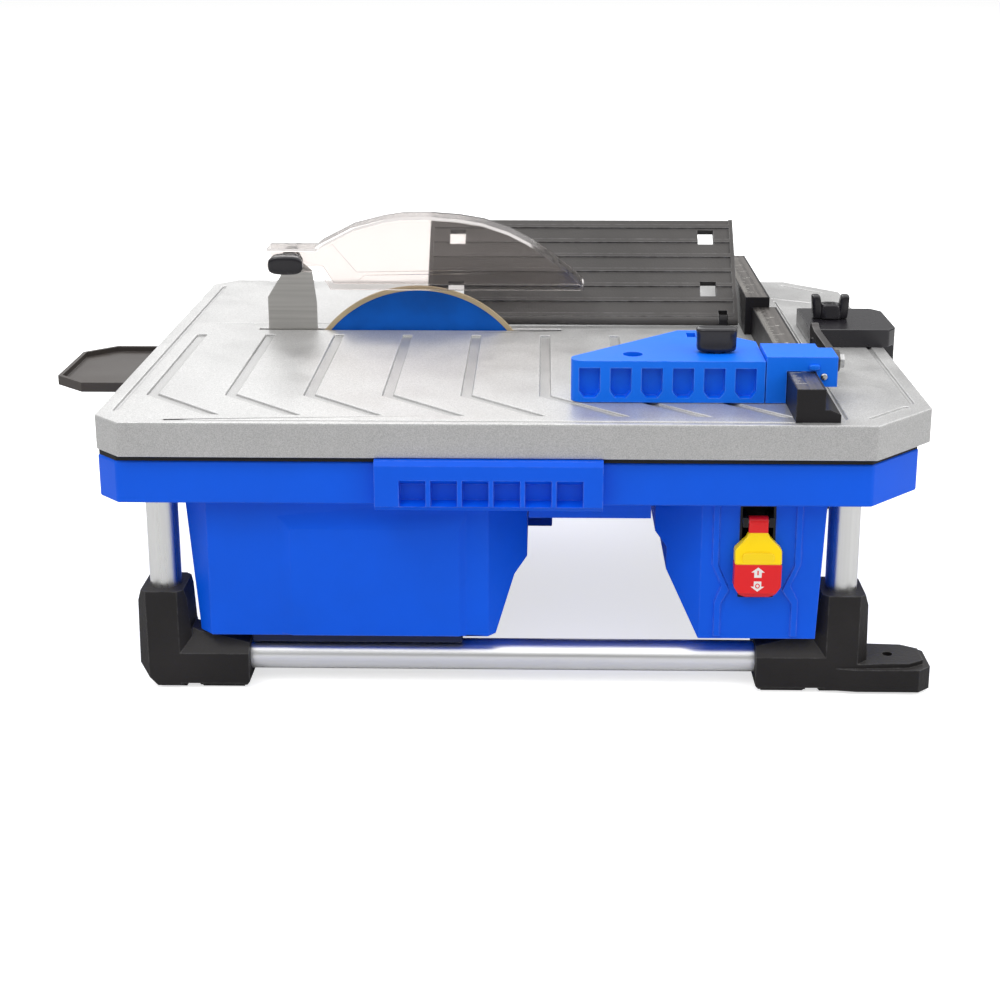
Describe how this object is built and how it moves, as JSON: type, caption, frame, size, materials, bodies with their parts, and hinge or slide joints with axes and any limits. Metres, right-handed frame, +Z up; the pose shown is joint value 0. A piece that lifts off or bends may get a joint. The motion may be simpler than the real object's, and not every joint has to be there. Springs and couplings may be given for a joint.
{
  "type": "wet tile saw",
  "caption": "Tabletop wet tile saw with a ribbed deck, clear blade guard, tilting bevel plate, sliding mitre guide, water tank, battery drive and tube frame.",
  "frame": {"origin": "under the middle of the whole saw, on the bench it stands on", "axes": "+Z up; +X towards the operator's end, along the cut; +Y away from the carry handle, along the blade's axis"},
  "size_m": [0.599, 0.431, 0.2686],
  "materials": {
    "deck_silver": "speckled satin",
    "black_rubber": "matt",
    "black_plastic": "fine texture",
    "blue_plastic": "satin, lightly textured",
    "dark_blue_plastic": "matt",
    "tube_aluminium": "satin",
    "grey_plastic": "matt",
    "steel": "brushed",
    "winding": "matt",
    "blade_core": "satin",
    "blade_rim": "matt, gritty",
    "clear_guard": "clear, polished",
    "red_plastic": "satin",
    "yellow_plastic": "satin",
    "board_green": "matt",
    "cell_can": "wrapped"
  },
  "bodies": {
    "base": {"deck": "deck_silver", "deck_gasket": "black_rubber", "deck_posts": "black_plastic", "upper_tray": "blue_plastic", "cross_drain": "blue_plastic", "carry_handle": "blue_plastic", "water_tank": "blue_plastic", "lower_pans": "dark_blue_plastic", "drive_housing": "blue_plastic", "motor_cover": "blue_plastic", "leg_tubes": "tube_aluminium", "rail_tubes": "tube_aluminium", "leg_collars": "blue_plastic", "outfeed_feet": "black_plastic", "operator_feet": "black_plastic", "foot_soles": "black_rubber", "hinge_pins": "steel", "bearing_plate": "steel", "shaft_seal": "black_rubber", "motor_can": "black_plastic", "end_bells": "steel", "motor_mount": "black_plastic", "stator": "winding", "bearings": "steel", "support_plate": "steel", "support_block": "black_plastic", "hinge_brackets": "black_plastic", "near_bar": "black_plastic", "far_bar": "black_plastic", "bar_screws": "steel", "edge_bracket": "black_plastic", "switch_box": "black_plastic", "control_board": "board_green", "terminal_block": "black_plastic"},
    "plug": {"drain_plug": "black_rubber"},
    "flap": {"splash_flap": "grey_plastic"},
    "rotor": {"rotor_core": "steel", "arbor_shaft": "steel", "motor_fan": "black_plastic", "arbor_flanges": "steel", "arbor_nut": "steel", "blade_core": "blade_core", "blade_rim": "blade_rim"},
    "guard": {"guard_shell": "clear_guard"},
    "guard_clamp": {"guard_knob": "black_plastic", "guard_bolt": "steel"},
    "bevel": {"bevel_plate": "black_plastic"},
    "guide": {"guide_body": "blue_plastic", "guide_saddle": "blue_plastic", "lever_screw": "steel"},
    "guide_clamp": {"guide_knob": "black_plastic"},
    "lever": {"clamp_lever": "black_plastic"},
    "edge_clamp": {"edge_knob": "black_plastic"},
    "rocker": {"switch_rocker": "red_plastic"},
    "paddle": {"stop_paddle": "red_plastic", "paddle_shoulder": "yellow_plastic"},
    "battery": {"battery_case": "black_plastic", "battery_top": "blue_plastic", "battery_cells": "cell_can"},
    "latch": {"battery_latch": "grey_plastic"}
  },
  "joints": [
    {"name": "blade_spin", "type": "hinge", "parent": "base", "child": "rotor", "pos_m": [-0.0415, 0.0365, 0.127], "axis": [0, 1, 0], "continuous": true},
    {"name": "guard_lift", "type": "hinge", "parent": "base", "child": "guard", "pos_m": [-0.1355, 0.0365, 0.235], "axis": [0, -1, 0], "range_deg": [0, 45]},
    {"name": "guard_knob_turn", "type": "hinge", "parent": "guard", "child": "guard_clamp", "pos_m": [-0.1355, 0.0365, 0.235], "axis": [0, 1, 0], "range_deg": [-180, 180]},
    {"name": "bevel_tilt", "type": "hinge", "parent": "base", "child": "bevel", "pos_m": [0.0765, 0.0495, 0.1875], "axis": [-1, 0, 0], "range_deg": [0, 45]},
    {"name": "guide_slide", "type": "slide", "parent": "base", "child": "guide", "axis": [0, 1, 0], "range_m": [-0.035, 0.09]},
    {"name": "guide_knob_turn", "type": "hinge", "parent": "guide", "child": "guide_clamp", "pos_m": [0.1595, -0.1375, 0.213], "axis": [0, 0, 1], "range_deg": [-180, 180]},
    {"name": "clamp_lever_lift", "type": "hinge", "parent": "guide", "child": "lever", "pos_m": [0.2355, -0.1315, 0.203], "axis": [1, 0, 0], "range_deg": [0, 60]},
    {"name": "edge_knob_turn", "type": "hinge", "parent": "base", "child": "edge_clamp", "pos_m": [0.2575, 0.0225, 0.196], "axis": [0, 0, 1], "range_deg": [-180, 180]},
    {"name": "flap_fold", "type": "hinge", "parent": "base", "child": "flap", "pos_m": [-0.2305, 0.0285, 0.153], "axis": [0, 1, 0], "range_deg": [-75, 0]},
    {"name": "drain_pull", "type": "slide", "parent": "base", "child": "plug", "axis": [0, 0, -1], "range_m": [0, 0.012]},
    {"name": "paddle_lift", "type": "hinge", "parent": "base", "child": "paddle", "pos_m": [0.183, -0.1935, 0.1165], "axis": [-1, 0, 0], "range_deg": [0, 75]},
    {"name": "rocker_tip", "type": "hinge", "parent": "base", "child": "rocker", "pos_m": [0.183, -0.1745, 0.085], "axis": [1, 0, 0], "range_deg": [-7, 7]},
    {"name": "battery_slide", "type": "slide", "parent": "base", "child": "battery", "axis": [0, 1, 0], "range_m": [0, 0.13]},
    {"name": "latch_press", "type": "slide", "parent": "battery", "child": "latch", "axis": [1, 0, 0], "range_m": [0, 0.0025], "stiffness_N_per_m": 400}
  ]
}
